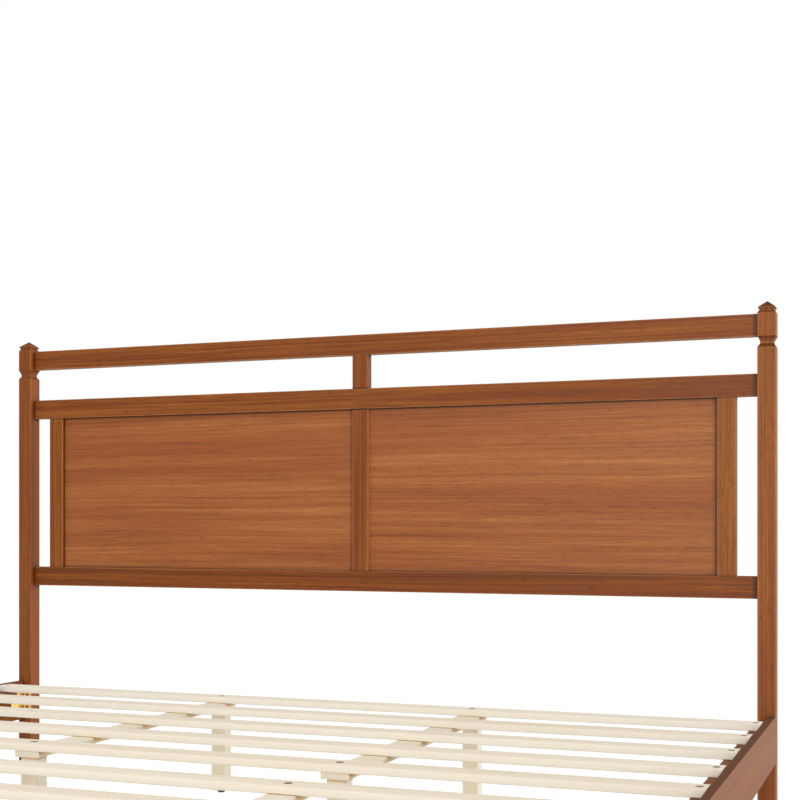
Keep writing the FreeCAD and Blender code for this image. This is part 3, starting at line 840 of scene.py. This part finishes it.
# Radii in millimetres, and depths that run up from the floor or from the leg's end
GLIDE_DISC = ((2.6, 1.1), (3.3, 1.0), (3.5, 0.25), (4.2, 0.05), (7.0, 0.0), (9.2, 0.12),
              (10.6, 0.7), (11.5, 1.7), (11.9, 2.8), (12.0, 4.0), (11.8, 4.9), (11.4, 5.0))
GLIDE_NAIL = ((1.4, 0.42), (2.6, 0.55), (3.0, 0.85), (3.0, 1.1), (1.3, 1.3), (1.3, 16.5),
              (0.2, 18.9))
INSERT_MOUTH = ((4.5, 0.3),)
INSERT_SKIN = ((4.0, 13.0), (5.5, 13.0), (5.5, 0.6), (5.2, 0.3))
STEM_START = ((3.2, 6.8),)
STEM_END = ((3.1, 36.4), (2.7, 36.9))
THREAD_PITCH = 1.25
RINGS_PER_PITCH = 6
INSERT_THREAD = {"core": 3.98, "height": 0.42, "start": 0.8, "stop": 12.05}
STEM_THREAD = {"core": 3.35, "height": 0.55, "start": 7.0, "stop": 35.75}
NOTCH_COUNT = 12
GLIDE_STEPS = 48
INSERT_STEPS = 36
FOOT_STEPS = 96
STEM_STEPS = 24


def threaded_rings(angles, core, height, start, stop):
    """Rings of a helical thread with its ridges as high as the height over the core."""
    def radius_at(depth):
        return lambda angle: core + height * (
            0.5 - 0.5 * math.cos(math.tau * (depth / THREAD_PITCH - angle / math.tau)))

    count = int(round((stop - start) / THREAD_PITCH * RINGS_PER_PITCH))
    depths = [start + index * THREAD_PITCH / RINGS_PER_PITCH for index in range(count + 1)]
    return [ring_of(angles, radius_at(depth), depth) for depth in depths]


def notched(radius, depth):
    """A rim with rounded grip notches."""
    return lambda angle: radius - depth * max(0.0, math.cos(NOTCH_COUNT * angle)) ** 3


# Nail-on glides under the posts
posts = [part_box(f"{end}_post_{side}") for end in ("head", "foot") for side in ("left", "right")]
places = [placed((*middle_of(box), 0), UP) for box in posts]
angles = even_angles(GLIDE_STEPS)
add_piece("post_glide_discs", *turned_mesh(rings_of(angles, GLIDE_DISC)), places,
          black_plastic, "bed", "black_plastic", "post_glides")
add_piece("post_glide_nails", *turned_mesh(rings_of(angles, GLIDE_NAIL)), places,
          stem_steel, "bed", "insert_steel", "post_glides")

# Threaded inserts in the legs
leg_bottom = next(iter(leg_boxes.values()))[0].z
places = [placed((x, y, leg_bottom), UP) for x, y in leg_middles.values()]
angles = even_angles(INSERT_STEPS)
insert = turned_mesh(rings_of(angles, INSERT_MOUTH) + threaded_rings(angles, **INSERT_THREAD)
                     + rings_of(angles, INSERT_SKIN), looped=True)
add_piece("leg_insert_set", *insert, places, stem_steel, "bed", "insert_steel", "leg_inserts")

# Levelling feet: a moulded base with grip notches on a threaded stem
FOOT_BASE = ((5.2, 0.0), (6.6, 0.06), (7.8, 0.5), (notched(8.6, 0.2), 1.4),
             (notched(8.95, 0.5), 2.4), (notched(9.0, 0.6), 4.6), (notched(8.9, 0.5), 5.6),
             (8.3, 6.2), (7.6, 6.3), (7.3, 6.9), (6.9, 7.0), (3.7, 7.0))
foot_base = turned_mesh(rings_of(even_angles(FOOT_STEPS), FOOT_BASE))
angles = even_angles(STEM_STEPS)
foot_stem = turned_mesh(rings_of(angles, STEM_START) + threaded_rings(angles, **STEM_THREAD)
                        + rings_of(angles, STEM_END))
for name, (x, y) in leg_middles.items():
    foot = name.replace("support_leg", "levelling_foot")
    label = name.replace("support_leg", "")
    places = [placed((x, y, 0), UP, draw.uniform(0, SIXTH_TURN))]
    add_piece("foot_base" + label, *foot_base, places, black_plastic, foot, "black_plastic", foot)
    add_piece("foot_stem" + label, *foot_stem, places, stem_steel, foot, "insert_steel", foot)


# Floor and world: white to the camera, and plain light for the rest

WHITE = (1.0, 1.0, 1.0, 1.0)
AMBIENT_STRENGTH = 0.46
BACKDROP_STRENGTH = 1.0
FLOOR_REACH = 30.0
FLOOR_COLOUR = (0.9, 0.9, 0.9, 1.0)
FLOOR_GLOW = 1.26
FLOOR_GLOW_SHARE = 0.7

world = bpy.data.worlds.new("studio")
bpy.context.scene.world = world
graph = Graph(world)
ambient, backdrop = (
    graph.add("Background", {"Color": WHITE, "Strength": strength}).outputs[0]
    for strength in (AMBIENT_STRENGTH, BACKDROP_STRENGTH))
light = graph.mix_shaders(graph.seen_directly(), ambient, backdrop)
graph.add("OutputWorld", {"Surface": light})

floor_mesh = bpy.data.meshes.new("floor")
corners = [(x * FLOOR_REACH, y * FLOOR_REACH, 0) for x, y in ((-1, -1), (1, -1), (1, 1), (-1, 1))]
floor_mesh.from_pydata(corners, [], [(0, 1, 2, 3)])
floor = bpy.data.objects.new("floor", floor_mesh)
bpy.context.scene.collection.objects.link(floor)
graph = Graph(bpy.data.materials.new("pale_floor"))
matt = graph.add("BsdfDiffuse", {"Color": FLOOR_COLOUR}).outputs[0]
glow = graph.add("Emission", {"Strength": FLOOR_GLOW}).outputs[0]
share = graph.math("MULTIPLY", graph.seen_directly(), FLOOR_GLOW_SHARE)
graph.add("OutputMaterial", {"Surface": graph.mix_shaders(share, matt, glow)})
floor_mesh.materials.append(graph.owner)


# Lamps and camera

# Name, place, target, size and power of each lamp
LAMPS = (
    ("front", (1.05, -7.0, 1.3), (0.2, 1.0, 0.7), 3.0, 268.0),
    ("right", (6.4, 3.4, 1.5), (0, 0.4, 0.4), 5.0, 260.0),
    ("left", (-6.4, 3.4, 1.5), (0, 0.4, 0.4), 5.0, 170.0),
    ("top", (-0.3, -0.2, 5.0), (0, 0.2, 0.0), 3.4, 78.0),
)
# The camera stands where the photograph's did and looks level
CAMERA_PLACE = (1.3087, -2.1238, 0.6639)
CAMERA_TURN = math.radians(20.97)
CAMERA_LENS = 62.2575
CAMERA_SENSOR = 36.0
CAMERA_SHIFT_UP = 0.1536

for name, place, target, size, power in LAMPS:
    data = bpy.data.lights.new(name, "AREA")
    data.shape = "SQUARE"
    data.size = size
    data.energy = power
    lamp = bpy.data.objects.new(name, data)
    lamp.location = place
    lamp.rotation_euler = (Vector(target) - Vector(place)).to_track_quat("-Z", "Y").to_euler()
    bpy.context.scene.collection.objects.link(lamp)

camera_data = bpy.data.cameras.new("camera")
camera_data.sensor_width = CAMERA_SENSOR
camera_data.lens = CAMERA_LENS
camera_data.shift_y = CAMERA_SHIFT_UP
camera = bpy.data.objects.new("camera", camera_data)
camera.location = CAMERA_PLACE
camera.rotation_euler = (math.pi / 2, 0, CAMERA_TURN)
bpy.context.scene.collection.objects.link(camera)
bpy.context.scene.camera = camera
bpy.context.scene.view_settings.view_transform = "Standard"
